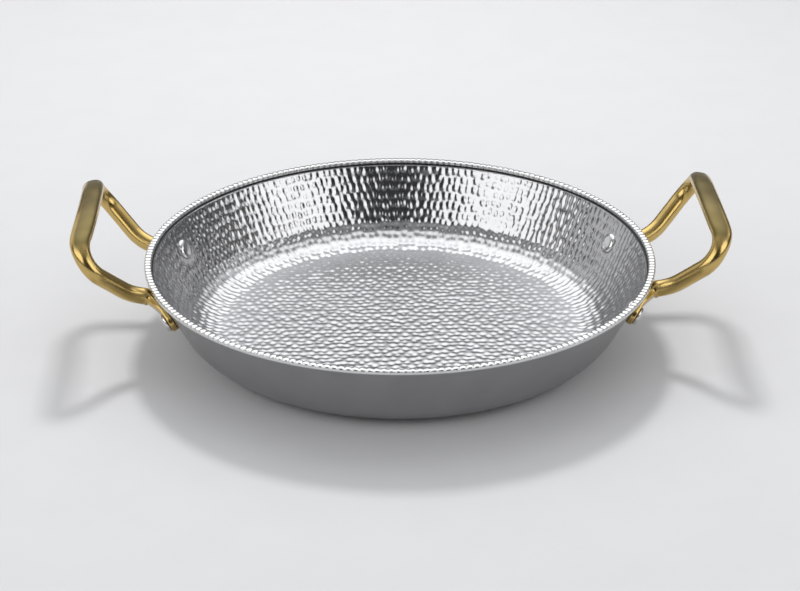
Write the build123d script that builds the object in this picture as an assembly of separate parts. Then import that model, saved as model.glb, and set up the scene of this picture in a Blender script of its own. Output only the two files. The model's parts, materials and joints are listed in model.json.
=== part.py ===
from build123d import *
import math
import os

# A two-handled casserole pan: one pressed sheet-steel body with a knurled rim bead, two bent-rod
# handles with hammered flat feet, and four solid rivets.
# Millimetres and degrees. The origin is the centre of the base on the table, +Z is up, and the
# handles stand at +X and -X. The +X handle and its rivets are drawn, and the others mirror them.

# Body
RIM_DIAMETER = 248.0        # over the bead
BODY_HEIGHT = 41.0          # table to the top of the bead
SHEET = 1.8                 # wall and floor
WALL_LEAN = 28.0            # the wall leans out this far from the vertical
CORNER_RADIUS = 25.0        # outside, between floor and wall
CORNER_BANDS = 4            # the corner's arc is laid out in this many narrow cone bands

# Rim bead, a rolled edge knurled with bars that run over its top and outer side
BEAD_HEIGHT = 2.5
BEAD_WIDTH = 3.6
BEAD_OVERHANG = 1.4         # it stands this far out past the wall
BEAD_SHOULDER = 1.2         # sloped off over its outer top edge
BEAD_FALL = 1.1             # from its crown down to its inner edge
LEDGE_WIDTH = 0.2           # plain inner edge between the lip and the first of the bars
LEDGE_STEP = 0.1            # the bars come up out of the ledge this much
KNURL_PITCH = 3.25          # from bar to bar, along the rim
KNURL_DEPTH = 0.4
BARS_PER_SPAN = 10          # the bars are made in equal spans of this many

# Groove inside the rim, where the sheet turns out under the bead
WALL_DROP = 2.6             # from the bead's middle down to the top of the wall's inner face
GROOVE_DROP = 1.5           # and down to the groove's deepest line
GROOVE_DEPTH = 1.0          # into the sheet

# Handle rod, and the corners of its centre line from the foot to the middle of the grip
ROD_DIAMETER = 8.0
FOOT_SPREAD = 28.7          # each foot meets the wall this far to the side of the handle's middle
FOOT_GAP = 1.35             # clear height between the rod and the bead above it
LEG_RUN = 8.3               # from the foot out to the leg's upward bend
LEG_SPLAY = 2.7             # sideways over that run
LEG_CLIMB = 2.6             # upward over that run
LEG_BEND_RADIUS = 24.0
SHOULDER_REACH = 28.1       # the loop's corner, out past the rim
SHOULDER_SPREAD = 47.3      # to the side of the handle's middle
SHOULDER_RISE = 20.2        # above the middle of the bead
SHOULDER_RADIUS = 12.6
GRIP_REACH = 24.5           # the grip's middle, out past the rim
GRIP_RISE = 29.7            # above the middle of the bead
CROWN_SPREAD = 15.6         # the grip bends down towards its shoulders this far from its middle
CROWN_RADIUS = 60.0

# The rod is pressed wide and flat where the hand holds it
GRIP_WIDTH = 10.8
GRIP_THICKNESS = 6.2
GRIP_TILT = 10.0            # the pressed face leans outward this far from level
ROD_SIDES = 16              # flats round a section of the rod
TURN_PER_STATION = 22.5     # most that the centre line turns between two sections
ROUND = 2.0                 # power of the outline that is an ellipse or a circle
PRESSED = 3.2               # of one with flatter faces
FORGED = 8.0                # of one that is nearly a rectangle

# Handle foot: the rod turns sharply sideways and is hammered out into a pad on the wall
ELBOW_RADIUS = 5.0
PAD_THICKNESS = 3.0
PAD_WIDTH = 11.0            # its free end is a half round about the rivet
ELBOW_WIDTH = 9.4           # where the rod leaves the wall, between the pad and the round rod
PAD_NECK = 5.6              # from the rivet's axis to where the pad starts to turn into the rod

# Rivets
RIVET_SPREAD = 39.0         # to the side of the handle's middle
RIVET_DROP = 13.5           # below the middle of the bead
SHANK_DIAMETER = 5.0
HOLE_CLEARANCE = 0.1        # all round the shank, in the wall and in the pad
HEAD_DIAMETER = 10.4        # the low dome inside the pan
HEAD_HEIGHT = 1.9
TAIL_DIAMETER = 9.4         # the head set on the pad
TAIL_HEIGHT = 1.8
TAIL_EDGE = 1.0             # sloped off round the set head
RIVET_SIDES = 16            # narrow flats round a rivet's heads and shank
DOME_BANDS = 3              # and up its dome
SEAT_GAP = 0.05             # left between the wall's curve and what is seated on it

LEAN = math.radians(WALL_LEAN)
RIM_RADIUS = RIM_DIAMETER / 2
BEAD_MIDDLE = BODY_HEIGHT - BEAD_HEIGHT / 2
FOOT_HEIGHT = BEAD_MIDDLE - BEAD_HEIGHT / 2 - FOOT_GAP - ROD_DIAMETER / 2
BEAD_LOW = BODY_HEIGHT - BEAD_HEIGHT
RIVET_HEIGHT = BEAD_MIDDLE - RIVET_DROP


def wall_radius(height, inward=0.0):
    """Radius of the wall's outer face at a height, or of a parallel face this far inside it."""
    outer = RIM_RADIUS - BEAD_OVERHANG - (BEAD_MIDDLE - height) * math.tan(LEAN)
    return outer - inward / math.cos(LEAN)


def skin(inward, top):
    """The body's outline, or a parallel one inside it: floor, corner and wall up to a height."""
    turn = math.pi / 2 - LEAN
    radius = CORNER_RADIUS - inward
    centre = wall_radius(inward, inward) - radius * math.tan(turn / 2)
    points = [(0, inward)]
    for band in range(CORNER_BANDS + 1):
        angle = turn * band / CORNER_BANDS
        points.append((centre + radius * math.sin(angle), inward + radius * (1 - math.cos(angle))))
    points.append((wall_radius(top, inward), top))
    return points


def cone_inside(inward):
    """Everything within the wall's outer face, or within a parallel face this far inside it."""
    low, high = wall_radius(0, inward), wall_radius(BEAD_LOW, inward)
    return revolved([(0, 0), (low, 0), (high, BEAD_LOW), (0, BEAD_LOW)])


def revolved(points):
    """A solid of revolution about Z from an outline of (radius, height) points."""
    with BuildSketch(Plane.XZ) as section:
        with BuildLine():
            Polyline(*points, close=True)
        make_face()
    return revolve(section.sketch, Axis.Z)


def bead_core(lip, ledge):
    """The plain rolled edge that carries the bars, from under its outer side to its inner edge."""
    side = RIM_RADIUS - KNURL_DEPTH - BEAD_SHOULDER
    return [(side, BEAD_LOW), (side, ledge), (lip, ledge)]


def groove_line():
    """(radius, height) of the deepest line of the groove under the bead's inner side."""
    height = BEAD_MIDDLE - GROOVE_DROP
    return wall_radius(height, SHEET - GROOVE_DEPTH), height


def bar_section(angle, cut, inner):
    """The knurled layer's outline in the radial plane at an angle, its top and side cut back."""
    top = BODY_HEIGHT - cut
    side = RIM_RADIUS - cut
    outline = [
        (inner, BEAD_MIDDLE),
        (inner, top - BEAD_FALL),
        (RIM_RADIUS - BEAD_SHOULDER, top),
        (side, BODY_HEIGHT - BEAD_SHOULDER),
        (side, BEAD_LOW),
        (RIM_RADIUS - BEAD_WIDTH / 2, BEAD_LOW),
    ]
    corners = [Vector(r * math.cos(angle), r * math.sin(angle), z) for r, z in outline]
    return Wire.make_polygon(corners, close=True)


def knurled_bars(inner):
    """Spans of bars, each lofted from ridge to groove to ridge, set end to end round the rim."""
    spans = round(math.pi * RIM_DIAMETER / KNURL_PITCH / BARS_PER_SPAN)
    half_bar = math.pi / (spans * BARS_PER_SPAN)
    sections = []
    for step in range(2 * BARS_PER_SPAN + 1):
        sections.append(bar_section(half_bar * step, KNURL_DEPTH * (step % 2), inner))
    span = Solid.make_loft(sections, ruled=True)
    return [span.rotate(Axis.Z, 360 * turn / spans) for turn in range(spans)]


def rivet_plane():
    """Plane on the wall at the +X, +Y rivet: its Z is the wall's normal, its X points at the foot."""
    radius = wall_radius(RIVET_HEIGHT)
    azimuth = math.asin(RIVET_SPREAD / radius)
    level = Vector(math.cos(azimuth), math.sin(azimuth), 0)
    normal = level * math.cos(LEAN) - Vector(0, 0, math.sin(LEAN))
    origin = level * radius + Vector(0, 0, RIVET_HEIGHT)
    to_foot = rod_corners()[0] - origin
    return Plane(origin, x_dir=to_foot - normal * to_foot.dot(normal), z_dir=normal)


def rod_corners():
    """Corners of the +X rod's centre line, from the foot at +Y to the middle of the grip."""
    foot_radius = wall_radius(FOOT_HEIGHT, -ROD_DIAMETER / 2)
    foot = Vector(math.sqrt(foot_radius**2 - FOOT_SPREAD**2), FOOT_SPREAD, FOOT_HEIGHT)
    bend = foot + Vector(LEG_RUN, LEG_SPLAY, LEG_CLIMB)
    shoulder = Vector(RIM_RADIUS + SHOULDER_REACH, SHOULDER_SPREAD, BEAD_MIDDLE + SHOULDER_RISE)
    middle = Vector(RIM_RADIUS + GRIP_REACH, 0, BEAD_MIDDLE + GRIP_RISE)
    crown = middle + Vector(0, CROWN_SPREAD, 0)
    return foot, bend, shoulder, crown, middle


def ring(place, along, thin, width, thickness, power):
    """Corners of a rod section, square across a direction and thin along another."""
    across = Plane(place, x_dir=along.cross(thin), z_dir=along)
    corners = []
    for side in range(ROD_SIDES):
        angle = 2 * math.pi * (side + 0.5) / ROD_SIDES
        x = math.copysign(abs(math.cos(angle)) ** (2 / power), math.cos(angle)) * width / 2
        y = math.copysign(abs(math.sin(angle)) ** (2 / power), math.sin(angle)) * thickness / 2
        corners.append(across.from_local_coords(Vector(x, y, 0)))
    return corners


def lined_up(corners, others):
    """The same closed ring of corners, begun where they lie nearest to the others in turn."""
    starts = [corners[turn:] + corners[:turn] for turn in range(len(corners))]
    return min(starts, key=lambda start: sum((a - b).length for a, b in zip(start, others)))


def rod_stations(edges):
    """(place, direction, pressed share) along the rod: round up to its shoulder, pressed after it."""
    arcs = [edge for edge in edges if edge.geom_type == GeomType.CIRCLE]
    shoulder = arcs[2]          # after those of the elbow and the leg
    pressed = 0.0
    stations = []
    for edge in edges:
        turn = math.degrees(edge.length / edge.radius) if edge in arcs else 0
        pieces = max(1, math.ceil(turn / TURN_PER_STATION))
        for piece in range(pieces):
            if edge is shoulder:
                pressed = piece / pieces
            stations.append((edge.position_at(piece / pieces), edge.tangent_at(piece / pieces), pressed))
        if edge is shoulder:
            pressed = 1.0
    stations.append((edges[-1].position_at(1), edges[-1].tangent_at(1), pressed))
    return stations


def skinned(rings):
    """A solid through rings of corners; two flat faces close each gap between four corners."""
    faces = [Face(Wire.make_polygon(corners, close=True)) for corners in (rings[0], rings[-1])]
    for near, far in zip(rings, rings[1:]):
        for side in range(ROD_SIDES):
            a, b, c, d = near[side - 1], near[side], far[side], far[side - 1]
            faces.append(Face(Wire.make_polygon([a, b, c], close=True)))
            faces.append(Face(Wire.make_polygon([a, c, d], close=True)))
    return Solid(Shell(faces))


def rod_rings(edges):
    """Rings from the grip's middle back to the elbow, the grip's flat carried along the bends."""
    tilt = math.radians(GRIP_TILT)
    thin = Vector(math.sin(tilt), 0, math.cos(tilt))
    rings = []
    for place, along, pressed in reversed(rod_stations(edges)):
        thin = (thin - along * thin.dot(along)).normalized()
        share = pressed**2 * (3 - 2 * pressed)      # eased in and out
        width = ROD_DIAMETER + (GRIP_WIDTH - ROD_DIAMETER) * share
        thickness = ROD_DIAMETER + (GRIP_THICKNESS - ROD_DIAMETER) * share
        power = ROUND + (PRESSED - ROUND) * share
        rings.append(ring(place, along, thin, width, thickness, power))
    return rings


def half_handle():
    """The +Y half of the +X handle, from its riveted pad to the middle of the grip."""
    seat = rivet_plane()
    middle = SEAT_GAP + PAD_THICKNESS / 2
    neck = seat.from_local_coords(Vector(PAD_NECK, 0, middle))
    bends = [ELBOW_RADIUS, LEG_BEND_RADIUS, SHOULDER_RADIUS, CROWN_RADIUS]
    edges = FilletPolyline(neck, *rod_corners(), radius=bends).edges()
    rings = rod_rings(edges[1:])
    rings.pop()                 # the elbow begins with a ring of its own
    elbow = edges[0].position_at(1)
    elbow_depth = 2 * (seat.to_local_coords(elbow).Z - SEAT_GAP)
    elbow_ring = ring(elbow, edges[0].tangent_at(1), seat.z_dir, ELBOW_WIDTH, elbow_depth, PRESSED)
    neck_ring = ring(neck, seat.x_dir, seat.z_dir, PAD_WIDTH, PAD_THICKNESS, FORGED)
    for corners in (elbow_ring, neck_ring):
        rings.append(lined_up(corners, rings[-1]))
    pad = Pos(0, 0, middle) * Cylinder(PAD_WIDTH / 2, PAD_THICKNESS)
    pad += Pos(PAD_NECK / 2, 0, middle) * Box(PAD_NECK, PAD_WIDTH, PAD_THICKNESS)
    return skinned(rings) + seat * pad


def rivet_bore():
    """The hole for the +X, +Y rivet, right through the pad and the wall."""
    radius = SHANK_DIAMETER / 2 + HOLE_CLEARANCE
    reach = SHEET + PAD_THICKNESS
    return rivet_plane() * Cylinder(radius, 3 * reach)


def handle():
    """The +X handle. Nothing of it reaches into the wall that its feet lie on."""
    half = half_handle() - cone_inside(0) - rivet_bore()
    return half + half.mirror(Plane.XZ)


def pan_body():
    """The pressed body with its knurled rim and the groove inside it, pierced for four rivets."""
    lip = RIM_RADIUS - BEAD_WIDTH
    ledge = BODY_HEIGHT - BEAD_FALL + LEDGE_STEP
    outline = skin(0, BEAD_LOW) + bead_core(lip, ledge) + [groove_line()]
    outline += reversed(skin(SHEET, BEAD_MIDDLE - WALL_DROP))
    body = revolved(outline) + knurled_bars(lip + LEDGE_WIDTH)
    bore = rivet_bore()
    for tool in (bore, bore.mirror(Plane.XZ)):
        body = body - tool - tool.mirror(Plane.YZ)
    return body


def turned(profile):
    """A solid on Z through (radius, height) points, going up, with narrow flats round it."""
    flats = math.cos(math.pi / RIVET_SIDES)
    bands = []
    for (low_radius, low), (high_radius, high) in zip(profile, profile[1:]):
        lean = math.degrees(math.atan2((low_radius - high_radius) * flats, high - low))
        section = Pos(0, 0, low) * RegularPolygon(low_radius, RIVET_SIDES)
        bands.append(extrude(section, amount=high - low, taper=lean))
    return bands[0].fuse(*bands[1:])


def dome(radius, height):
    """(radius, height) points of a low spherical dome, from its edge to near its top."""
    sphere = (radius**2 + height**2) / (2 * height)
    spread = math.asin(radius / sphere)
    points = []
    for band in range(DOME_BANDS):
        angle = spread * (1 - band / DOME_BANDS)
        points.append((sphere * math.sin(angle), sphere * (math.cos(angle) - 1) + height))
    return points + [(radius / (2 * DOME_BANDS), height)]


def rivet():
    """The +X, +Y rivet: a low dome inside the pan, a shank, and the set head on the pad."""
    seat = rivet_plane()
    radius = HEAD_DIAMETER / 2
    head = turned([(radius, -SHEET)] + dome(radius, HEAD_HEIGHT))
    head = seat * (Pos(0, 0, -SHEET) * Rot(X=180) * head) & cone_inside(SHEET + SEAT_GAP)
    tail = TAIL_DIAMETER / 2
    base = SEAT_GAP + PAD_THICKNESS + SEAT_GAP
    top = base + TAIL_HEIGHT
    set_head = turned([(tail, base), (tail, top - TAIL_EDGE), (tail - TAIL_EDGE, top)])
    shank = turned([(SHANK_DIAMETER / 2, -SHEET - HEAD_HEIGHT / 2), (SHANK_DIAMETER / 2, base)])
    return head + seat * shank + seat * set_head


os.makedirs("parts", exist_ok=True)
right_handle = handle()
right_rear_rivet = rivet()
right_front_rivet = right_rear_rivet.mirror(Plane.XZ)
pieces = {
    "pan_body": pan_body(),
    "handle_right": right_handle,
    "handle_left": right_handle.mirror(Plane.YZ),
    "rivet_right_rear": right_rear_rivet,
    "rivet_right_front": right_front_rivet,
    "rivet_left_rear": right_rear_rivet.mirror(Plane.YZ),
    "rivet_left_front": right_front_rivet.mirror(Plane.YZ),
}
for name, solid in pieces.items():
    export_step(solid, f"parts/{name}.step")
    print(name, "volume", round(solid.volume), "valid", solid.is_valid)
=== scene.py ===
# %% [markdown]
# # A two-handled casserole pan
# The pan is one pressed steel sheet, hammered all over its inside, with a knurled rolled rim. Two bent
# gold-coloured rods stand up from it as handles, and four steel rivets hold their flat feet.
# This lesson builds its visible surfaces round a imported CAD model. The CAD model gives the size and the
# place of every piece, and this script gives each piece its finish and its fine shape.

import json
import math
import random

import bmesh
import bpy
import numpy as np
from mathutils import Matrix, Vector
from mathutils.kdtree import KDTree

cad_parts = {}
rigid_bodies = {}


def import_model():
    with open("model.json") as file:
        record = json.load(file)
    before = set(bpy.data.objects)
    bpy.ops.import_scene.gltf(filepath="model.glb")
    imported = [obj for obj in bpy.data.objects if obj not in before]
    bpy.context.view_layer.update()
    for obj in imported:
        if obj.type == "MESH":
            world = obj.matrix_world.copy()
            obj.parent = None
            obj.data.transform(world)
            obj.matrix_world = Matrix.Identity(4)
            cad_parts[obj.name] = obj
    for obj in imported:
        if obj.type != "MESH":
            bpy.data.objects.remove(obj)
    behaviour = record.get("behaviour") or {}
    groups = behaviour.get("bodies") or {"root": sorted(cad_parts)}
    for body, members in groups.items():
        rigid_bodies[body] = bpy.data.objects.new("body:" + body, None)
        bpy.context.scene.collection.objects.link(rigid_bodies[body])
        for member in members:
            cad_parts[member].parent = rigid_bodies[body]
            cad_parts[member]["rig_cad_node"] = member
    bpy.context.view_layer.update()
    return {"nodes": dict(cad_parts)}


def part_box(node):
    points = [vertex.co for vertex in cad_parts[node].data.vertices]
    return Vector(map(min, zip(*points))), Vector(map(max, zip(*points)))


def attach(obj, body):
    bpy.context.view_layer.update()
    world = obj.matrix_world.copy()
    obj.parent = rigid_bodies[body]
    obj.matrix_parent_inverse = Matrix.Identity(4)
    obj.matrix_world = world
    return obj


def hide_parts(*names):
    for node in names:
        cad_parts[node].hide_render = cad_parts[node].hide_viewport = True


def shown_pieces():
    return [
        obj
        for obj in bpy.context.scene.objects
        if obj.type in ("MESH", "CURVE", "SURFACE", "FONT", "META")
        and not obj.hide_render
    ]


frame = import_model()
print("CAD nodes:", sorted(frame["nodes"]))

# %% [markdown]
# ## Sizes
# The body's box gives the rim's radius and its height. The other sizes can't be read from a box, so they
# are written here once, in millimetres, after the CAD model. Meshes are worked out in millimetres too,
# and turned into metres when they are made.

# %% Sizes of the pan
MM = 0.001
_, body_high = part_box("pan_body")
RIM_RADIUS = body_high.x / MM
BODY_HEIGHT = body_high.z / MM
SHEET = 1.8
LEAN = math.radians(28.0)
CORNER_RADIUS = 25.0
BEAD_HEIGHT, BEAD_WIDTH = 2.5, 3.6
BEAD_MIDDLE = BODY_HEIGHT - BEAD_HEIGHT / 2
BEAD_OVERHANG = 1.4
GROOVE_DROP = 1.45
WALL_TOP = BEAD_MIDDLE - GROOVE_DROP
RIVET_SPREAD, RIVET_DROP = 39.0, 13.5
RIVET_HEIGHT = BEAD_MIDDLE - RIVET_DROP
HEAD_DIAMETER = 10.4


def wall_radius(height, inward=0.0):
    """Radius of the wall's outer face at a height, or of a face this far inside it."""
    middle = RIM_RADIUS - BEAD_OVERHANG
    return middle - (BEAD_MIDDLE - height) * math.tan(LEAN) - inward / math.cos(LEAN)


rivet_azimuth = math.asin(RIVET_SPREAD / wall_radius(RIVET_HEIGHT))
print("rim radius", round(RIM_RADIUS, 2), "height", round(BODY_HEIGHT, 2),
      "base radius", round(wall_radius(0), 1))

# %% [markdown]
# ## The camera
# The photograph was taken from about a metre away and somewhat above the pan, with a long lens. The lens
# and the place were worked out from the ellipse of the rim, so the render lines up with it.

# %% Camera
CAMERA_PLACE = Vector((-32.2, -951.9, 475.65)) * MM
CAMERA_DOWN = math.radians(25.667)
CAMERA_TURN = math.radians(1.94)
camera_data = bpy.data.cameras.new("camera")
camera_data.sensor_width = 36.0
camera_data.lens = 96.75
camera = bpy.data.objects.new("camera", camera_data)
camera.location = CAMERA_PLACE
camera.rotation_euler = (math.pi / 2 - CAMERA_DOWN, 0, -CAMERA_TURN)
bpy.context.scene.collection.objects.link(camera)
bpy.context.scene.camera = camera
bpy.context.scene.view_settings.view_transform = "Standard"
print("camera at", [round(c, 3) for c in camera.location], "lens", camera_data.lens)

# %% [markdown]
# ## Writing shaders as expressions
# A shader is a graph of nodes, and a graph is hard to read as code. Here a small class wraps the output
# of a node and knows the arithmetic, so that `1 - mask` adds a Math node by itself. Every other node
# comes from one method, which takes the node's type, its settings and its sockets.


# %% Shader arithmetic
class Graph:
    """A tree of nodes, in a material or in the world."""

    def __init__(self, tree):
        self.tree = tree

    def node(self, kind, settings=None, sockets=None, output=0):
        """Adds any node: its settings first, then the values or links of its sockets."""
        made = self.tree.nodes.new(kind)
        for name, value in (settings or {}).items():
            setattr(made, name, value)
        for name, value in (sockets or {}).items():
            if isinstance(value, Signal):
                self.tree.links.new(value.socket, made.inputs[name])
            else:
                made.inputs[name].default_value = value
        return Signal(self, made.outputs[output])


class Signal:
    """An output of a node. Arithmetic on it adds Math nodes to the same graph."""

    def __init__(self, graph, socket):
        self.graph, self.socket = graph, socket

    def math(self, operation, *terms):
        return self.graph.node("ShaderNodeMath", {"operation": operation}, dict(enumerate(terms)))

    def __add__(self, other):
        return self.math("ADD", self, other)

    def __sub__(self, other):
        return self.math("SUBTRACT", self, other)

    def __rsub__(self, other):
        return self.math("SUBTRACT", other, self)

    def __mul__(self, other):
        return self.math("MULTIPLY", self, other)

    __radd__ = __add__
    __rmul__ = __mul__

    def ramp(self, start, end):
        """0 below start, 1 above end, and a soft step between them."""
        return self.graph.node("ShaderNodeMapRange", {"interpolation_type": "SMOOTHSTEP"},
                               {"Value": self, "From Min": start, "From Max": end})


# %% What the finishes share
class Finish(Graph):
    """The graph of one material, with the few nodes that all its finishes are made of."""

    def __init__(self, name):
        self.material = bpy.data.materials.new(name)
        self.material.use_nodes = True
        super().__init__(self.material.node_tree)
        self.tree.nodes.clear()

    def noise(self, size, detail):
        """Noise from 0 to 1 with features of about this size in millimetres."""
        point = self.node("ShaderNodeTexCoord", output="Object")
        place = self.node("ShaderNodeVectorMath", {"operation": "MULTIPLY"}, {0: point, 1: [1 / MM] * 3})
        return self.node("ShaderNodeTexNoise", {}, {"Vector": place, "Scale": 1 / size, "Detail": detail})

    def blend(self, mask, first, second):
        """A colour that goes from the first to the second as the mask goes from 0 to 1."""
        return self.node("ShaderNodeMix", {"data_type": "RGBA"}, {0: mask, 6: first, 7: second}, output=2)

    def attribute(self, name):
        """A number that was stored on the mesh's points."""
        return self.node("ShaderNodeAttribute", {"attribute_name": name}, output="Fac")

    def bump(self, height, distance):
        """Raises and sinks the surface by the height, times a distance in millimetres."""
        return self.node("ShaderNodeBump", {}, {"Height": height, "Distance": distance * MM, "Strength": 1.0})

    def surface(self, **sockets):
        """Ends the graph in a Principled shader whose sockets are given with _ for a space."""
        named = {name.replace("_", " "): value for name, value in sockets.items()}
        shader = self.node("ShaderNodeBsdfPrincipled", {}, named)
        end = self.tree.nodes.new("ShaderNodeOutputMaterial")
        self.tree.links.new(shader.socket, end.inputs["Surface"])
        return self.material


print("shader helpers ready")

# %% [markdown]
# ## Steel and gold
# Both metals are a Principled shader with Metallic at 1. The look of a metal is mostly its roughness: the
# rivet heads and the hammered inside are polished, and the smooth outside is satin. The roughness changes
# a little over the surface, as handling and polishing leave it, and a very fine bump breaks up the
# reflections. A roughness that crosses about 0.27 can leave faint outlines in a denoised render, so every
# steel stays on one side of it.

# %% Steel
CLOUD_LOW, CLOUD_HIGH, CLOUD_DETAIL = 0.3, 0.7, 3.0
GRAIN_DETAIL = 2.0
STEEL_CLOUDS, STEEL_GRAIN = 14.0, 0.45
STEEL_SHADE = 0.94


def steel(name, colour, roughness, spread, grain):
    """Bright steel: soft clouds in its colour and roughness, and a fine grain in its surface."""
    finish = Finish(name)
    clouds = finish.noise(STEEL_CLOUDS, CLOUD_DETAIL)
    fine = finish.noise(STEEL_GRAIN, GRAIN_DETAIL)
    shade = [c * STEEL_SHADE for c in colour] + [1]
    return finish.surface(
        Base_Color=finish.blend(clouds.ramp(CLOUD_LOW, CLOUD_HIGH), shade, colour + [1]),
        Metallic=1.0, Roughness=roughness + (clouds - 0.5) * spread, Normal=finish.bump(fine, grain),
    )


hammered_steel = steel("hammered_steel", [0.53, 0.53, 0.54], 0.20, 0.05, 0.003)
# The outside is the same steel as the inside with a darker colour: painted shade, on top of its satin
# roughness.
outer_steel_painted_shade = steel("satin_steel_painted_shade", [0.42, 0.42, 0.43], 0.33, 0.06, 0.002)
# The rim is the same steel as the inside with a lighter colour: painted light on the bead.
rim_steel_painted_light = steel("rim_steel_painted_light", [0.70, 0.70, 0.70], 0.25, 0.03, 0.004)
# The groove under the rim is near-black: painted shade in the recess between the bead and the wall.
groove_painted_shade = steel("groove_painted_shade", [0.05, 0.05, 0.05], 0.50, 0.05, 0.01)
rivet_steel = steel("rivet_head_steel", [0.72, 0.72, 0.72], 0.18, 0.08, 0.01)
print("steels:", [m.name for m in (hammered_steel, outer_steel_painted_shade, rim_steel_painted_light, groove_painted_shade, rivet_steel)])

# %% Gold
GOLD_CLOUDS, GOLD_GRAIN, GOLD_GRAIN_DEPTH = 9.0, 0.4, 0.008
GOLD_ROUGHNESS, GOLD_SPREAD, SATIN_ROUGHNESS = 0.19, 0.08, 0.20
POLISHED_SHADE, POLISHED_GOLD = [0.56, 0.40, 0.14, 1], [0.61, 0.44, 0.165, 1]
MATT_SHADE, MATT_GOLD = [0.18, 0.14, 0.056, 1], [0.215, 0.17, 0.07, 1]


def gold():
    """Gold-coloured metal: a satin pressed face on the grip, and polish everywhere else."""
    finish = Finish("gold")
    satin = finish.attribute("satin")
    clouds = finish.noise(GOLD_CLOUDS, CLOUD_DETAIL)
    fine = finish.noise(GOLD_GRAIN, GRAIN_DETAIL)
    patches = clouds.ramp(CLOUD_LOW, CLOUD_HIGH)
    polished = finish.blend(patches, POLISHED_SHADE, POLISHED_GOLD)
    matt = finish.blend(patches, MATT_SHADE, MATT_GOLD)
    return finish.surface(
        Base_Color=finish.blend(satin, polished, matt), Metallic=1.0,
        Roughness=GOLD_ROUGHNESS + clouds * GOLD_SPREAD + satin * SATIN_ROUGHNESS,
        Normal=finish.bump(fine, GOLD_GRAIN_DEPTH),
    )


gold_metal = gold()
print("gold:", gold_metal.name)

# %% [markdown]
# ## Rings of points
# The body, the rim, the handles and the rivets are all skins over a row of rings: rings about an upright
# axis, or rings about a bent line. One function closes the gap between two rings. Where they have the
# same number of points it makes four-sided faces, and where they don't it zips them together with
# triangles, which lets the mesh be fine only where the surface needs it.


# %% Faces between two rings
def zip_rings(first, second):
    """Faces between two closed rings of point numbers that start at the same angle."""
    size, other_size = len(first), len(second)
    if size == other_size:
        return [(first[i], first[(i + 1) % size], second[(i + 1) % size], second[i]) for i in range(size)]
    faces = []
    i = j = 0
    while i < size or j < other_size:
        near = (i + 1) / size if i < size else 2.0
        far = (j + 1) / other_size if j < other_size else 2.0
        a, b = first[i % size], second[j % other_size]
        if near <= far:
            faces.append((a, first[(i + 1) % size], b))
            i += 1
        else:
            faces.append((a, second[(j + 1) % other_size], b))
            j += 1
    return faces


def fan(tip, ring):
    """Triangles from one point to a closed ring."""
    return [(tip, ring[i], ring[(i + 1) % len(ring)]) for i in range(len(ring))]


def triangles(piece):
    """How many triangles a piece's faces make."""
    return sum(len(face.vertices) - 2 for face in piece.data.polygons)


print("faces between rings of 6 and 12 points:", len(zip_rings(range(6), range(12))))


# %% Skin over rings
def smooth_piece(name, points, faces, materials, kinds):
    """An object with a smooth mesh. Points are in millimetres, and kinds number each face's material."""
    mesh = bpy.data.meshes.new(name)
    mesh.from_pydata((points * MM).tolist(), [], faces)
    for material in materials:
        mesh.materials.append(material)
    mesh.polygons.foreach_set("material_index", kinds)
    mesh.polygons.foreach_set("use_smooth", [True] * len(faces))
    mesh.update()
    piece = bpy.data.objects.new(name, mesh)
    bpy.context.scene.collection.objects.link(piece)
    return piece


def skin(name, rings, ends, materials, kind_of_gap=None):
    """A closed skin over rings, with a point at each end."""
    rows = [np.array([ends[0]])] + [np.asarray(ring) for ring in rings] + [np.array([ends[1]])]
    starts = np.cumsum([0] + [len(row) for row in rows])
    numbers = [list(range(starts[k], starts[k + 1])) for k in range(len(rows))]
    faces, kinds = [], []
    for k in range(len(numbers) - 1):
        near, far = numbers[k], numbers[k + 1]
        if len(near) == 1:
            made = fan(near[0], far)
        elif len(far) == 1:
            made = [(a, b, tip) for tip, a, b in fan(far[0], near)]
        else:
            made = zip_rings(near, far)
        faces += made
        kinds += [kind_of_gap(k) if kind_of_gap else 0] * len(made)
    return smooth_piece(name, np.concatenate(rows), faces, materials, kinds)


def closed_ring(name, rings, material):
    """A ring-shaped skin: the last ring of points is joined to the first."""
    size = len(rings[0])
    numbers = [list(range(k * size, (k + 1) * size)) for k in range(len(rings))]
    faces = []
    for near, far in zip(numbers, numbers[1:] + numbers[:1]):
        faces += zip_rings(near, far)
    return smooth_piece(name, np.concatenate(rings), faces, [material], [0] * len(faces))


print("skin helpers ready")

# %% [markdown]
# ## The hammering
# The inside of the pan is covered with shallow dishes, round ones on the floor and ones drawn out like
# grains of rice up the wall. They touch or overlap nearly everywhere. A bump map would do from far away,
# but the ridges between the dishes catch the light, so they are real here. The centres are laid out in
# rows with a random shift, and every point of the inside sinks into the dish whose surface is lowest
# there.

# %% Inner face of the sheet
random.seed(24)
WALL_SLOPE = math.pi / 2 - LEAN
INNER_CORNER = CORNER_RADIUS - SHEET
FLOOR_RADIUS = wall_radius(SHEET, SHEET) - INNER_CORNER * math.tan(WALL_SLOPE / 2)
CORNER_LENGTH = INNER_CORNER * WALL_SLOPE
WALL_FOOT_RADIUS = FLOOR_RADIUS + INNER_CORNER * math.sin(WALL_SLOPE)
WALL_FOOT_HEIGHT = SHEET + INNER_CORNER * (1 - math.cos(WALL_SLOPE))
INSIDE_LENGTH = FLOOR_RADIUS + CORNER_LENGTH + (WALL_TOP - WALL_FOOT_HEIGHT) / math.sin(WALL_SLOPE)


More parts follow.
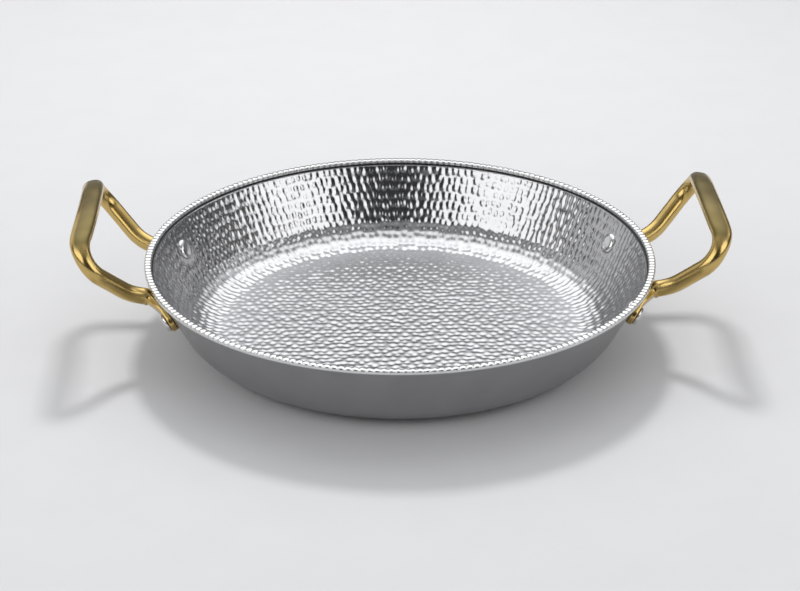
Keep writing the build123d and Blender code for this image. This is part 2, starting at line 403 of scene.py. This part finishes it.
def inner_face(length):
    """(radius, height, slope) at a length along the inside, from the middle of the floor."""
    if length <= FLOOR_RADIUS:
        return length, SHEET, 0.0
    length -= FLOOR_RADIUS
    if length <= CORNER_LENGTH:
        slope = length / INNER_CORNER
        radius = FLOOR_RADIUS + INNER_CORNER * math.sin(slope)
        return radius, SHEET + INNER_CORNER * (1 - math.cos(slope)), slope
    length -= CORNER_LENGTH
    radius = WALL_FOOT_RADIUS + length * math.cos(WALL_SLOPE)
    return radius, WALL_FOOT_HEIGHT + length * math.sin(WALL_SLOPE), WALL_SLOPE


print("floor radius", round(FLOOR_RADIUS, 1), "length of the inside", round(INSIDE_LENGTH, 1))


# %% One hammer mark
class Dish:
    """One hammer mark: its place along the inside and round it, its size, its depth and its twist."""

    def __init__(self, length, angle, along, across, depth, twist=0.0):
        self.length, self.angle = length, angle
        self.radius, height, _ = inner_face(length)
        self.middle = (self.radius * math.cos(angle), self.radius * math.sin(angle), height)
        self.along, self.across, self.depth, self.twist = along, across, depth, twist


print("a mark at the wall's foot:", Dish(FLOOR_RADIUS + CORNER_LENGTH, 0.0, 3.0, 2.0, 0.4).middle)

# %% Dishes on the floor
FLOOR_PITCH = 4.3
FLOOR_ROW = FLOOR_PITCH * math.sqrt(3) / 2
FLOOR_SHIFT = 0.24
FLOOR_SIZES = (0.50, 0.58)
FLOOR_DEPTH, WALL_DEPTH = 0.34, 0.44
DEPTHS = (0.75, 1.2)


def floor_dishes(limit):
    """Rows of a honeycomb, each dish shifted at random."""
    made = []
    rows = int(limit / FLOOR_ROW) + 1
    for row in range(-rows, rows + 1):
        for column in range(-rows, rows + 1):
            x = (column + (row % 2) / 2) * FLOOR_PITCH + random.uniform(-1, 1) * FLOOR_SHIFT * FLOOR_PITCH
            y = row * FLOOR_ROW + random.uniform(-1, 1) * FLOOR_SHIFT * FLOOR_PITCH
            if math.hypot(x, y) < limit:
                size = FLOOR_PITCH * random.uniform(*FLOOR_SIZES)
                depth = FLOOR_DEPTH * random.uniform(*DEPTHS)
                made.append(Dish(math.hypot(x, y), math.atan2(y, x), size, size, depth))
    return made


print("rows on the floor are", round(FLOOR_ROW, 2), "mm apart")

# %% Dishes on the corner and the wall
WALL_PITCH, WALL_ROW = 3.4, 4.5
CORNER_ALONG, WALL_ALONG = 0.56, 0.66
CORNER_ACROSS, WALL_ACROSS = 0.60, 0.56
WALL_SHIFT_ROUND, WALL_SHIFT_UP = 0.2, 0.9
WALL_SIZES = (0.88, 1.12)
WALL_TWIST = 0.25
FLOOR_MARGIN = 1.0


def wall_dishes(start):
    """Staggered rings of dishes from the foot of the corner to the groove under the rim."""
    made = []
    rows = round((INSIDE_LENGTH - start) / WALL_ROW)
    gap = (INSIDE_LENGTH - start) / rows
    for row in range(rows):
        length = start + (row + 0.5) * gap
        radius, _, slope = inner_face(length)
        count = round(2 * math.pi * radius / WALL_PITCH)
        up = slope / WALL_SLOPE
        for column in range(count):
            shift = random.uniform(-WALL_SHIFT_ROUND, WALL_SHIFT_ROUND)
            angle = (column + row % 2 / 2 + shift) * 2 * math.pi / count
            along = CORNER_ALONG + (WALL_ALONG - CORNER_ALONG) * up
            along *= gap * random.uniform(*WALL_SIZES)
            across = CORNER_ACROSS + (WALL_ACROSS - CORNER_ACROSS) * up
            across *= WALL_PITCH * random.uniform(*WALL_SIZES)
            place = length + random.uniform(-WALL_SHIFT_UP, WALL_SHIFT_UP)
            depth = WALL_DEPTH * random.uniform(*DEPTHS)
            made.append(Dish(place, angle, along, across, depth, random.uniform(-WALL_TWIST, WALL_TWIST)))
    return made


corner_start = FLOOR_RADIUS + FLOOR_MARGIN
dishes = floor_dishes(corner_start) + wall_dishes(corner_start)
print("hammer marks:", len(dishes))

# %% Flat steel round the rivets
FLAT_RING, FLAT_BLEND = 0.6, 1.6
head_radius = wall_radius(RIVET_HEIGHT, SHEET)
RIVET_HEADS = [(head_radius * math.cos(a), head_radius * math.sin(a), RIVET_HEIGHT)
               for a in (rivet_azimuth, -rivet_azimuth, math.pi - rivet_azimuth, math.pi + rivet_azimuth)]


def clear_of_rivets(spot):
    """0 under a rivet's head, 1 well away from it: the punch that sets a rivet leaves a flat ring."""
    gap = min(math.dist(spot, head) for head in RIVET_HEADS)
    return min(1.0, max(0.0, (gap - HEAD_DIAMETER / 2 - FLAT_RING) / FLAT_BLEND))


print("flat rings round", len(RIVET_HEADS), "rivets")

# %% Sinking a point into the dishes
DISHES_TRIED = 5
dish_tree = KDTree(len(dishes))
for number, dish in enumerate(dishes):
    dish_tree.insert(dish.middle, number)
dish_tree.balance()


def part_of_radius(dish, spot, length, radius, angle):
    """The square of a point's distance from a dish's middle: 0 there, and 1 on its edge."""
    if length < FLOOR_RADIUS:
        return (math.dist(spot, dish.middle) / dish.along) ** 2
    turn = (angle - dish.angle + math.pi) % (2 * math.pi) - math.pi
    up, side = length - dish.length, turn * (radius + dish.radius) / 2
    turned_up = up * math.cos(dish.twist) + side * math.sin(dish.twist)
    turned_side = side * math.cos(dish.twist) - up * math.sin(dish.twist)
    return (turned_up / dish.along) ** 2 + (turned_side / dish.across) ** 2


def sunk(length, radius, height, angle):
    """How deep the inside is hammered at a point: the lowest of the dishes near it."""
    spot = (radius * math.cos(angle), radius * math.sin(angle), height)
    lowest = 0.0
    for _, number, _ in dish_tree.find_n(spot, DISHES_TRIED):
        dish = dishes[number]
        part = part_of_radius(dish, spot, length, radius, angle)
        lowest = min(lowest, -dish.depth * max(0.0, 1 - part) ** 2)
    return lowest * clear_of_rivets(spot)


middle_depth = sunk(0.0, 0.0, SHEET, 0.0)
print("depth at the middle of the floor:", round(middle_depth, 3))

# %% [markdown]
# ## The body
# The body is one skin of rings: out over the hammered floor, up the wall, over its edge inside the rim,
# down the smooth outside and back to the middle of the base. A fine step on the inside and a coarse one
# outside keep the mesh light. The rolled rim is a second skin, a closed ring whose bars are a wave on it,
# with eight points to a bar, so that its fine columns don't have to run on over the wall.

# %% Rings of the inside
FLOOR_STEP, WALL_STEP = 0.88, 0.85
COLUMN_STEP = 6
WALL_COLUMNS, OUTSIDE_COLUMNS = 960, 240
CALM_EDGE = 0.8


def circle(radius, height, columns):
    """A ring of points about the upright axis; radius and height may vary round it."""
    angles = np.arange(columns) * 2 * math.pi / columns
    heights = np.broadcast_to(height, columns)
    return np.stack([radius * np.cos(angles), radius * np.sin(angles), heights], axis=1)


def inside_rings():
    """Hammered rings from near the middle of the floor to the groove under the rim."""
    floor_steps = round(FLOOR_RADIUS / FLOOR_STEP)
    wall_length = INSIDE_LENGTH - FLOOR_RADIUS
    wall_steps = round(wall_length / WALL_STEP)
    lengths = [FLOOR_RADIUS * step / floor_steps for step in range(1, floor_steps)]
    lengths += [FLOOR_RADIUS + wall_length * step / wall_steps for step in range(wall_steps + 1)]
    made = []
    for length in lengths:
        radius, height, slope = inner_face(length)
        columns = COLUMN_STEP * max(1, round(2 * math.pi * radius / FLOOR_STEP / COLUMN_STEP))
        columns = WALL_COLUMNS if length >= FLOOR_RADIUS else columns
        calm = min(1.0, (INSIDE_LENGTH - length) / CALM_EDGE)
        angles = np.arange(columns) * 2 * math.pi / columns
        depth = np.array([calm * sunk(length, radius, height, a) for a in angles])
        made.append(circle(radius - depth * math.sin(slope), height + depth * math.cos(slope), columns))
    return made


inside = inside_rings()
print("rings inside:", len(inside))

# %% Rings of the edge and the outside
EDGE_DROP, RIM_LAP = 0.3, 0.1
GROOVE_STEPS = ((0.25, 0.05), (1.2, 0.4))
EDGE_STEPS = ((-0.6, 0.0), (0.0, -0.2))
OUTER_WALL_STEPS, OUTER_CORNER_STEPS = 8, 16
BASE_RINGS = ((0.8, 240), (0.6, 240), (0.4, 120), (0.2, 60))


def edge_rings():
    """Rings over the wall's top edge, which the rim hides: the steps go outward and up from its faces."""
    top = BEAD_MIDDLE - EDGE_DROP
    inner, outer = wall_radius(WALL_TOP, SHEET), wall_radius(top)
    return ([circle(inner + out, WALL_TOP + up, WALL_COLUMNS) for out, up in GROOVE_STEPS]
            + [circle(outer + out, top + up, OUTSIDE_COLUMNS) for out, up in EDGE_STEPS])


def outside_rings():
    """Smooth rings from under the rim down to the middle of the base."""
    centre = wall_radius(0) - CORNER_RADIUS * math.tan(WALL_SLOPE / 2)
    top = BODY_HEIGHT - BEAD_HEIGHT + RIM_LAP
    foot = CORNER_RADIUS * (1 - math.cos(WALL_SLOPE))
    made = []
    for step in range(OUTER_WALL_STEPS + 1):
        height = top + (foot - top) * step / OUTER_WALL_STEPS
        made.append(circle(wall_radius(height), height, OUTSIDE_COLUMNS))
    for step in range(1, OUTER_CORNER_STEPS + 1):
        slope = WALL_SLOPE * (1 - step / OUTER_CORNER_STEPS)
        radius, height = centre + CORNER_RADIUS * math.sin(slope), CORNER_RADIUS * (1 - math.cos(slope))
        made.append(circle(radius, height, OUTSIDE_COLUMNS))
    return made + [circle(centre * share, 0.0, columns) for share, columns in BASE_RINGS]


edge, outside = edge_rings(), outside_rings()
print("rings:", len(edge), "on the edge,", len(outside), "outside")


# %% The body's mesh
# The strip over the wall's edge gets the near-black groove colour, which is painted shade.
def body_finish(gap):
    """Which of the body's materials a strip of faces between two rings has."""
    if gap < len(inside):
        return 0
    return 1 if gap < len(inside) + len(edge) else 2


pan = skin("hammered_body", inside + edge + outside, ((0.0, 0.0, SHEET + middle_depth), (0, 0, 0)),
           [hammered_steel, groove_painted_shade, outer_steel_painted_shade], body_finish)
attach(pan, "root")
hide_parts("pan_body")
print("body triangles:", triangles(pan))

# %% The knurled rim
BARS, BAR_POINTS = 240, 8
RIM_COLUMNS = BARS * BAR_POINTS
BAR_DEPTH = 0.36
BAR_START, BAR_BLEND = -0.75, 0.6
BEAD_POWER = 3.2
BEAD_RINGS = 20


def bead_ring(degrees):
    """A ring round the bead at an angle of its section: 90 is its top, and 0 its outside."""
    angle = math.radians(degrees)
    flat_cos = math.copysign(abs(math.cos(angle)) ** (2 / BEAD_POWER), math.cos(angle))
    flat_sin = math.copysign(abs(math.sin(angle)) ** (2 / BEAD_POWER), math.sin(angle))
    groove = 1 - np.abs(np.sin(np.arange(RIM_COLUMNS) * math.pi * BARS / RIM_COLUMNS))
    cut = BAR_DEPTH * groove * min(1.0, max(0.0, (math.sin(angle) - BAR_START) / BAR_BLEND))
    return circle(RIM_RADIUS - BEAD_WIDTH / 2 + (BEAD_WIDTH / 2 - cut) * flat_cos,
                  BEAD_MIDDLE + (BEAD_HEIGHT / 2 - cut) * flat_sin, RIM_COLUMNS)


bead = [bead_ring(360 * k / BEAD_RINGS + 180 / BEAD_RINGS) for k in range(BEAD_RINGS)]
rim = closed_ring("knurled_rim", bead, rim_steel_painted_light)
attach(rim, "root")
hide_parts("pan_body")
print("rim triangles:", triangles(rim))

# %% [markdown]
# ## The handles
# A handle is one rod. Each end is hammered flat and riveted to the wall, the rod turns sharply out from
# under the rim, bends up as a leg, turns over at a shoulder and runs level as the grip, where it has
# been pressed wide. It is a skin of rings again, square to a line made of straight runs and arcs. Only
# the half on the +Y side is worked out, because the other is its mirror image.

# %% Sizes of a handle
ROD_DIAMETER = 8.0
FOOT_SPREAD, GAP_UNDER_RIM = 28.7, 1.35
FOOT_HEIGHT = BODY_HEIGHT - BEAD_HEIGHT - GAP_UNDER_RIM - ROD_DIAMETER / 2
LEG = np.array([8.3, 2.7, 2.6])
SHOULDER = np.array([RIM_RADIUS + 28.1, 47.3, BEAD_MIDDLE + 20.2])
GRIP = np.array([RIM_RADIUS + 24.5, 0.0, BEAD_MIDDLE + 29.6])
CROWN_SPREAD = 15.6
ELBOW_BEND, LEG_BEND, SHOULDER_BEND, CROWN_BEND = 5.0, 24.0, 12.6, 60.0
GRIP_WIDTH, GRIP_THICKNESS = 10.5, 6.4
GRIP_TILT = math.radians(10.0)
PAD_WIDTH, PAD_THICKNESS, PAD_NECK = 11.0, 3.0, 5.6
SEAT_GAP = 0.05


def unit(vector):
    return vector / np.linalg.norm(vector)


level = np.array([math.cos(rivet_azimuth), math.sin(rivet_azimuth), 0.0])
RIVET_PLACE = level * wall_radius(RIVET_HEIGHT) + np.array([0, 0, RIVET_HEIGHT])
RIVET_NORMAL = level * math.cos(LEAN) - np.array([0, 0, math.sin(LEAN)])
foot_radius = wall_radius(FOOT_HEIGHT, -ROD_DIAMETER / 2)
FOOT = np.array([math.sqrt(foot_radius**2 - FOOT_SPREAD**2), FOOT_SPREAD, FOOT_HEIGHT])
to_foot = FOOT - RIVET_PLACE
PAD_WAY = unit(to_foot - RIVET_NORMAL * np.dot(to_foot, RIVET_NORMAL))
print("rivet at", RIVET_PLACE.round(2), "foot at", FOOT.round(2))

# %% A line of runs and arcs
ROD_STEP = 0.8
RUN_STEP = 1.6 * ROD_STEP


def rounded_line(corners, bends):
    """Points along straight runs whose corners are rounded to these radii."""
    points = [corners[0]]
    for before, corner, after, bend in zip(corners, corners[1:], corners[2:], bends):
        back, on = unit(before - corner), unit(after - corner)
        turn = math.pi - math.acos(np.dot(back, on))
        reach = bend * math.tan(turn / 2)
        centre = corner + unit(back + on) * bend / math.cos(turn / 2)
        start, end = corner + back * reach - centre, corner + on * reach - centre
        count = max(2, math.ceil(bend * turn / ROD_STEP))
        for k in range(count + 1):
            part = turn * k / count
            arm = (start * math.sin(turn - part) + end * math.sin(part)) / math.sin(turn)
            points.append(centre + arm)
    points.append(corners[-1])
    dense = [points[0]]
    for a, b in zip(points, points[1:]):
        pieces = max(1, math.ceil(np.linalg.norm(b - a) / RUN_STEP))
        dense += [a + (b - a) * k / pieces for k in range(1, pieces + 1)]
    return np.array(dense)


neck = RIVET_PLACE + PAD_WAY * PAD_NECK + RIVET_NORMAL * (SEAT_GAP + PAD_THICKNESS / 2)
crown = GRIP + np.array([0, CROWN_SPREAD, 0])
rod_line = rounded_line([neck, FOOT, FOOT + LEG, SHOULDER, crown, GRIP],
                        [ELBOW_BEND, LEG_BEND, SHOULDER_BEND, CROWN_BEND])
rod_length = np.concatenate([[0], np.cumsum(np.linalg.norm(np.diff(rod_line, axis=0), axis=1))])
print("half rod:", len(rod_line), "points,", round(rod_length[-1], 1), "mm")

# %% Where the rod is forged and pressed
INTO_ELBOW = 1.0
elbow_turn = math.acos(np.dot(unit(FOOT - neck), unit(LEG)))
FORGED_END = np.linalg.norm(FOOT - neck) - ELBOW_BEND * math.tan(elbow_turn / 2) + INTO_ELBOW
shoulder_length = rod_length[np.argmin(np.linalg.norm(rod_line - SHOULDER, axis=1))]
PRESS_START, PRESS_END = shoulder_length - 3.0, shoulder_length + 16.0
SATIN_START, SATIN_END = shoulder_length + 2.0, shoulder_length + 7.0


def smooth(value, start, end):
    """0 below start, 1 above end, and a soft step between them."""
    share = min(1.0, max(0.0, (value - start) / (end - start)))
    return share * share * (3 - 2 * share)


print("pressed from", round(PRESS_START, 1), "to", round(PRESS_END, 1), "mm along the half rod")

# %% Sections of the rod
SIDES = 40
ROUND_POWER, GRIP_POWER, PAD_POWER = 2.0, 2.5, 5.0
SATIN_EDGE, SATIN_BLEND = 0.15, 0.3
INNER_EDGE, INNER_BLEND = -0.55, 0.2


def section(place, along, thin, width, thickness, power):
    """A closed ring round a place: an ellipse, or nearer to a rectangle at a higher power."""
    across = unit(np.cross(along, thin))
    angles = (np.arange(SIDES) + 0.5) * 2 * math.pi / SIDES
    x = np.sign(np.cos(angles)) * np.abs(np.cos(angles)) ** (2 / power) * width / 2
    y = np.sign(np.sin(angles)) * np.abs(np.sin(angles)) ** (2 / power) * thickness / 2
    return place + x[:, None] * across + y[:, None] * thin


def lined_up(ring, other):
    """The same ring, begun at the point that makes it lie nearest to the other."""
    tries = [np.roll(ring, -turn, axis=0) for turn in range(len(ring))]
    return min(tries, key=lambda one: np.abs(one - other).sum())


def satin_face(ring, place, along, thin, width, thickness):
    """1 on the points of the pressed face, which looks up and a little inward, and 0 elsewhere."""
    height = np.dot(ring - place, thin) / (thickness / 2)
    inward = np.dot(ring - place, unit(np.cross(along, thin))) / (width / 2)
    upper = np.clip((height - SATIN_EDGE) / SATIN_BLEND, 0, 1)
    return upper * np.clip((inward - INNER_EDGE) / INNER_BLEND, 0, 1)


print("points to a section:", SIDES)


# %% Rings of half a handle
def half_rings():
    """Rings from the grip's middle back to the neck of the pad, and each ring's satin."""
    rings, satin = [], []
    thin = np.array([math.sin(GRIP_TILT), 0, math.cos(GRIP_TILT)])
    ways = np.gradient(rod_line, axis=0)
    for place, way, length in list(zip(rod_line, ways, rod_length))[::-1]:
        along = unit(way)
        thin = unit(thin - along * np.dot(thin, along))
        forged = 1 - smooth(length, 0.0, FORGED_END)
        pressed = smooth(length, PRESS_START, PRESS_END)
        width = ROD_DIAMETER + (GRIP_WIDTH - ROD_DIAMETER) * pressed
        thickness = ROD_DIAMETER + (GRIP_THICKNESS - ROD_DIAMETER) * pressed
        if forged > 0:
            normal = unit(RIVET_NORMAL - along * np.dot(RIVET_NORMAL, along))
            width += (PAD_WIDTH - ROD_DIAMETER) * forged
            depth = 2 * (np.dot(place - RIVET_PLACE, RIVET_NORMAL) - SEAT_GAP)
            thickness = min(ROD_DIAMETER, depth)
            power = ROUND_POWER + (PAD_POWER - ROUND_POWER) * forged
            rings.append(lined_up(section(place, along, normal, width, thickness, power), rings[-1]))
        else:
            power = ROUND_POWER + (GRIP_POWER - ROUND_POWER) * pressed
            rings.append(section(place, along, thin, width, thickness, power))
        face = satin_face(rings[-1], place, along, thin, width, thickness)
        satin.append(face * smooth(length, SATIN_START, SATIN_END))
    return rings, satin


half, half_satin = half_rings()
print("rings of half a handle:", len(half))

# %% Rings of the pad
PAD_RINGS = 14
PAD_TIP, TIP_REACH = 0.55, 0.3


def pad_rings(last):
    """Rings along the flat pad, over the rivet and to its half-round end."""
    half_width = PAD_WIDTH / 2
    rings = []
    for share in np.linspace(0, 1, PAD_RINGS + 1)[1:]:
        way = PAD_NECK - (PAD_NECK + half_width) * math.sin(share * math.pi / 2)
        reach = math.sqrt(max(0.0, half_width**2 - min(0.0, way) ** 2))
        thickness = PAD_THICKNESS * min(1.0, PAD_TIP + reach / half_width)
        place = RIVET_PLACE + PAD_WAY * way + RIVET_NORMAL * (SEAT_GAP + PAD_THICKNESS / 2)
        ring = section(place, PAD_WAY, RIVET_NORMAL, 2 * max(reach, TIP_REACH), thickness, PAD_POWER)
        last = lined_up(ring, last)
        rings.append(last)
    return rings


pad = pad_rings(half[-1])
pad_end = RIVET_PLACE - PAD_WAY * PAD_WIDTH / 2 + RIVET_NORMAL * (SEAT_GAP + PAD_THICKNESS / 2)
print("rings of its pad:", len(pad))

# %% Both handles
FLIP_Y = np.array([1, -1, 1])


def make_handle(name, node, flip):
    """One handle: the half with +Y, the grip's middle and the mirrored half, as one skin."""
    one_side = (half + pad)[::-1]
    values = (half_satin + [np.zeros(SIDES)] * len(pad))[::-1]
    rings = [ring * flip for ring in one_side] + [ring * FLIP_Y * flip for ring in one_side[-2::-1]]
    values = values + values[-2::-1]
    piece = skin(name, rings, (pad_end * flip, pad_end * FLIP_Y * flip), [gold_metal])
    satin = piece.data.attributes.new("satin", "FLOAT", "POINT")
    satin.data.foreach_set("value", np.concatenate([[0]] + values + [[0]]).astype(np.float32))
    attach(piece, "root")
    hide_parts(node)
    print(name, "triangles:", triangles(piece))


make_handle("gold_handle_right", "handle_right", np.array([1, 1, 1]))
make_handle("gold_handle_left", "handle_left", np.array([-1, 1, 1]))

# %% [markdown]
# ## The rivets
# Each rivet has a low head with a rounded edge inside the pan, and a set head on the handle's pad. It is
# turned about its own axis, so a short outline of points is swept round the wall's normal.

# %% Outline of a rivet
HEAD_HEIGHT, HEAD_ROUNDING, HEAD_STEPS = 1.9, 0.75, 14
HEAD_EDGE, HEAD_INSET, HEAD_LIFT = 0.12, 0.4, 0.08
SHANK_DIAMETER = 5.0
TAIL_DIAMETER, TAIL_HEIGHT = 9.4, 1.8
TAIL_ROUNDING, TAIL_EDGE, TAIL_INSET, TAIL_STEPS = 1.6, 0.3, 0.4, 9


def rivet_outline():
    """(radius, height) from the top of the inner head to the top of the set head."""
    head, shank, tail = HEAD_DIAMETER / 2, SHANK_DIAMETER / 2, TAIL_DIAMETER / 2
    base = PAD_THICKNESS + 2 * SEAT_GAP
    points = []
    for step in range(1, HEAD_STEPS + 1):
        angle = math.pi / 2 * step / HEAD_STEPS
        rise = HEAD_HEIGHT * max(0.0, math.cos(angle)) ** HEAD_ROUNDING
        points.append((head * math.sin(angle) ** HEAD_ROUNDING, -SHEET - max(rise, HEAD_EDGE)))
    points += [(head - HEAD_INSET, -SHEET - HEAD_LIFT), (shank, -SHEET - HEAD_LIFT), (shank, base)]
    points += [(tail - TAIL_INSET, base), (tail, base + TAIL_EDGE)]
    for step in range(1, TAIL_STEPS):
        angle = math.pi / 2 * step / TAIL_STEPS
        radius = tail - TAIL_ROUNDING + TAIL_ROUNDING * math.cos(angle)
        points.append((radius, base + TAIL_EDGE + (TAIL_HEIGHT - TAIL_EDGE) * math.sin(angle)))
    return points


print("points in a rivet's outline:", len(rivet_outline()))

# %% Rivets
RIVET_SIDES = 48


def make_rivet(name, node, flip):
    """One rivet, mirrored by the flip from the one at +X and +Y."""
    side = np.cross(RIVET_NORMAL, PAD_WAY)
    angles = np.arange(RIVET_SIDES) * 2 * math.pi / RIVET_SIDES
    spin = np.cos(angles)[:, None] * PAD_WAY + np.sin(angles)[:, None] * side
    rings = [(RIVET_PLACE + radius * spin + height * RIVET_NORMAL) * flip
             for radius, height in rivet_outline()]
    ends = [(RIVET_PLACE + height * RIVET_NORMAL) * flip for height in
            (-SHEET - HEAD_HEIGHT, PAD_THICKNESS + 2 * SEAT_GAP + TAIL_HEIGHT)]
    piece = skin(name, rings, ends, [rivet_steel])
    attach(piece, "root")
    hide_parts(node)
    print(name, "triangles:", triangles(piece))


for side_name, x_flip in (("right", 1), ("left", -1)):
    for end_name, y_flip in (("rear", 1), ("front", -1)):
        make_rivet(f"steel_rivet_{side_name}_{end_name}", f"rivet_{side_name}_{end_name}",
                   np.array([x_flip, y_flip, 1]))

# %% [markdown]
# ## Facing outward
# A skin that was mirrored, or whose rings run the other way round, is inside out. Blender works out the
# outward side of a closed mesh by itself.

# %% Face outward
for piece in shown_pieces():
    if "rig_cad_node" in piece:
        continue
    work = bmesh.new()
    work.from_mesh(piece.data)
    bmesh.ops.recalc_face_normals(work, faces=work.faces)
    print(piece.name, "open edges:", sum(1 for e in work.edges if not e.is_manifold))
    work.to_mesh(piece.data)
    work.free()

# %% [markdown]
# ## The studio
# Polished metal shows what stands round it, so most of the steel's look is made here, by panels of light
# in a dim room over a pale floor. A small, strong key panel behind and above the pan throws the shadows
# forward. It isn't seen in the metal, where it would be a glaring spot. The wide top panel is the
# reverse: it whitens the corner behind the floor and glints in the dishes, but is hidden from matt
# surfaces, so that it doesn't wash out the shadows. The two panels beside the camera make the two white
# zones of the far wall, with the dim room between them. Two smaller ones at the sides put light into the
# wall's ends and the handles.

# %% Floor
PAPER_RADIUS, PAPER_SIDES, PAPER_DROP = 3.0, 96, 0.00002
PAPER_CLOUDS, PAPER_FIBRE, FIBRE_DEPTH = 30.0, 0.8, 0.02
PAPER_SHADE, PAPER_LIGHT = [0.66, 0.66, 0.67, 1], [0.67, 0.67, 0.68, 1]
paper = Finish("floor_paper")
clouds, fibre = paper.noise(PAPER_CLOUDS, CLOUD_DETAIL), paper.noise(PAPER_FIBRE, GRAIN_DETAIL)
paper_material = paper.surface(
    Base_Color=paper.blend(clouds.ramp(CLOUD_LOW, CLOUD_HIGH), PAPER_SHADE, PAPER_LIGHT),
    Roughness=0.9, Normal=paper.bump(fibre, FIBRE_DEPTH),
)
floor_mesh = bpy.data.meshes.new("floor")
work = bmesh.new()
bmesh.ops.create_circle(work, cap_ends=True, segments=PAPER_SIDES, radius=PAPER_RADIUS)
work.to_mesh(floor_mesh)
work.free()
floor_mesh.materials.append(paper_material)
floor = bpy.data.objects.new("floor", floor_mesh)
floor.location.z = -PAPER_DROP
bpy.context.scene.collection.objects.link(floor)
print("floor radius", PAPER_RADIUS, "m")


# %% Panels of light
PAN_MIDDLE = (0, 0, 0.05)


def panel(name, place, width, height, radiance, target=(0, 0, 0)):
    """A soft rectangular light of this brightness that faces a target, all in metres."""
    data = bpy.data.lights.new(name, "AREA")
    data.shape = "RECTANGLE"
    data.size, data.size_y = width, height
    data.energy = radiance * math.pi * width * height
    light = bpy.data.objects.new(name, data)
    light.location = place
    light.rotation_euler = (Vector(target) - Vector(place)).to_track_quat("-Z", "Y").to_euler()
    bpy.context.scene.collection.objects.link(light)
    return light


key = panel("key_panel", (0.0, 0.63, 0.90), 0.17, 0.17, 62.0)
key.visible_glossy = False
top = panel("top_panel", (0.0, 0.507, 1.088), 1.35, 1.4, 0.80)
top.visible_diffuse = False
panel("right_panel", (0.887, -0.621, 0.625), 0.96, 0.8, 1.9, target=PAN_MIDDLE)
panel("left_panel", (-0.897, -0.605, 0.625), 1.3, 0.8, 1.85, target=PAN_MIDDLE)
panel("right_small_panel", (0.95, 0.15, 0.60), 0.3, 0.3, 1.5)
panel("left_low_panel", (-0.90, 0.57, 0.26), 0.75, 0.45, 0.65)

# %% [markdown]
# ## The room
# Between the panels the metal shows the room, which is the world's light. It is nearly dark in front,
# rises behind the pan, and is grey overhead. The world's Generated coordinate is the direction that is
# looked in, so Y says how far behind it is and Z how far above.

# %% The room
ROOM_COLOUR = (0.97, 0.98, 1.0, 1)
HIGH_GLOW, LOW_GLOW, CEILING, DARKEST = 0.96, 0.16, 0.45, 0.03
world = bpy.data.worlds.new("room")
world.use_nodes = True
bpy.context.scene.world = world
room = Graph(world.node_tree)
direction = room.node("ShaderNodeTexCoord", output="Generated")
behind = room.node("ShaderNodeSeparateXYZ", {}, {"Vector": direction}, output="Y")
above = room.node("ShaderNodeSeparateXYZ", {}, {"Vector": direction}, output="Z")
glow = above.ramp(0.31, 0.55) * HIGH_GLOW + above.ramp(0.0, 0.15) * LOW_GLOW
brightness = behind.ramp(-0.2, 0.7) * glow + above.ramp(0.6, 0.98) * CEILING + DARKEST
background = room.tree.nodes["Background"]
background.inputs["Color"].default_value = ROOM_COLOUR
room.tree.links.new(brightness.socket, background.inputs["Strength"])
print("nodes in the room:", len(room.tree.nodes))
